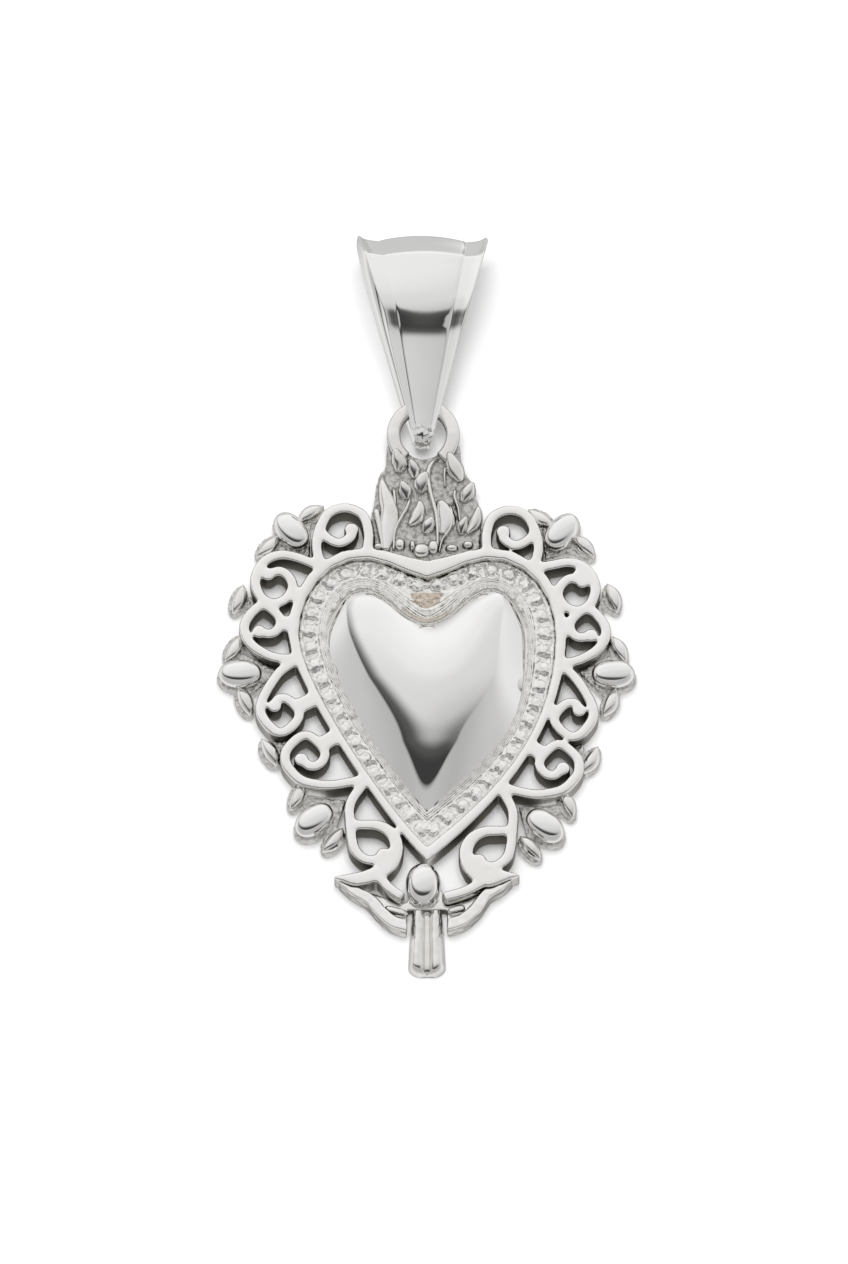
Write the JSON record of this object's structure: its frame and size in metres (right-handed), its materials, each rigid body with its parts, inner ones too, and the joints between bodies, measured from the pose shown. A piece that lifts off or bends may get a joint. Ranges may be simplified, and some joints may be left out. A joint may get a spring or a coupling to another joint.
{
  "type": "pendant",
  "caption": "Heart-shaped silver devotional pendant with a puffed dome, a beaded border, an openwork scroll frame, a flame crown and a folded strap bail that swings on an eyelet",
  "frame": {"origin": "middle of the overall box in X and Y, on the table plane that the back lies on", "axes": "X to the wearer's left as seen from the front (right in the picture), Y from the stem up to the bail, Z out of the face"},
  "size_m": [0.0222, 0.0408, 0.0049],
  "materials": {
    "polished_silver": "mirror polished",
    "buffed_silver": "buffed, with soft edges",
    "cast_silver": "rough as cast, with a little grey in the recesses",
    "toned_silver": "rough, with a warm tarnish"
  },
  "bodies": {
    "pendant": {"scroll_frame": "buffed_silver", "heart_dome": "polished_silver", "beaded_border": "buffed_silver", "bezel_rim": "buffed_silver", "cleft_shield": "toned_silver", "flame_plate": "cast_silver", "eyelet_ring": "buffed_silver", "flame_tongue_01": "buffed_silver", "flame_tongue_02": "buffed_silver", "flame_tongue_03": "buffed_silver", "flame_tongue_04": "buffed_silver", "flame_tongue_05": "buffed_silver", "flame_tongue_06": "buffed_silver", "flame_tongue_07": "buffed_silver", "flame_tongue_08": "buffed_silver", "flame_tongue_09": "buffed_silver", "flame_tongue_10": "buffed_silver", "flame_tongue_11": "buffed_silver", "flame_tongue_12": "buffed_silver", "flame_tongue_13": "buffed_silver", "flame_tongue_14": "buffed_silver", "bead_top_left": "polished_silver", "bead_side_left": "polished_silver", "bead_lower_left": "polished_silver", "bead_top_right": "polished_silver", "bead_side_right": "polished_silver", "bead_lower_right": "polished_silver", "bead_bottom": "polished_silver", "leaf_spray_top_left": "cast_silver", "leaf_spray_side_left": "cast_silver", "leaf_spray_lower_left": "cast_silver", "leaf_spray_top_right": "cast_silver", "leaf_spray_side_right": "cast_silver", "leaf_spray_lower_right": "cast_silver", "leaf_bud_upper_left": "cast_silver", "leaf_bud_lower_left": "cast_silver", "leaf_bud_upper_right": "cast_silver", "leaf_bud_lower_right": "cast_silver", "crescent_bowl": "buffed_silver", "finial_stem": "buffed_silver"},
    "bail": {"bail_strap": "polished_silver"}
  },
  "joints": [
    {"name": "bail_swing", "type": "hinge", "parent": "pendant", "child": "bail", "pos_m": [0.00001, 0.01124, 0.00138], "axis": [1, 0, 0], "range_deg": [-75, 95]}
  ]
}
